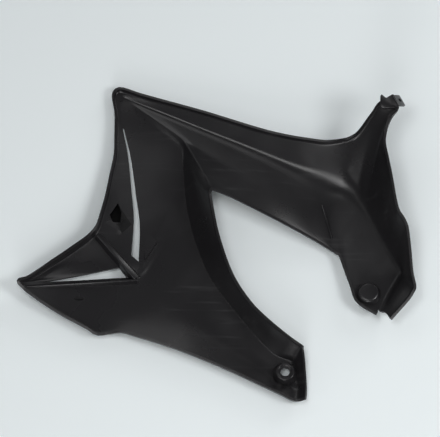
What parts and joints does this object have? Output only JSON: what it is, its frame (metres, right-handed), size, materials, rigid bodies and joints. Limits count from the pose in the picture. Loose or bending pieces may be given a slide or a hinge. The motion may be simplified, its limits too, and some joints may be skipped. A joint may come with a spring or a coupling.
{
  "type": "motorcycle fairing air scoop panel",
  "caption": "One-piece moulded side panel with an air scoop nose, two slots, a long folded arm and fixing points.",
  "frame": {"origin": "under the middle of the panel's box, at the height of its lowest point", "axes": "+X along the panel from the scoop nose to the foot, +Y across it towards the crown, +Z from the outer side to the inner side, which faces up"},
  "size_m": [0.398, 0.3394, 0.0599],
  "materials": {
    "panel_plastic": "black injection-moulded plastic, satin with a fine grain"
  },
  "bodies": {
    "root": {"scoop_panel": "panel_plastic"}
  },
  "joints": []
}
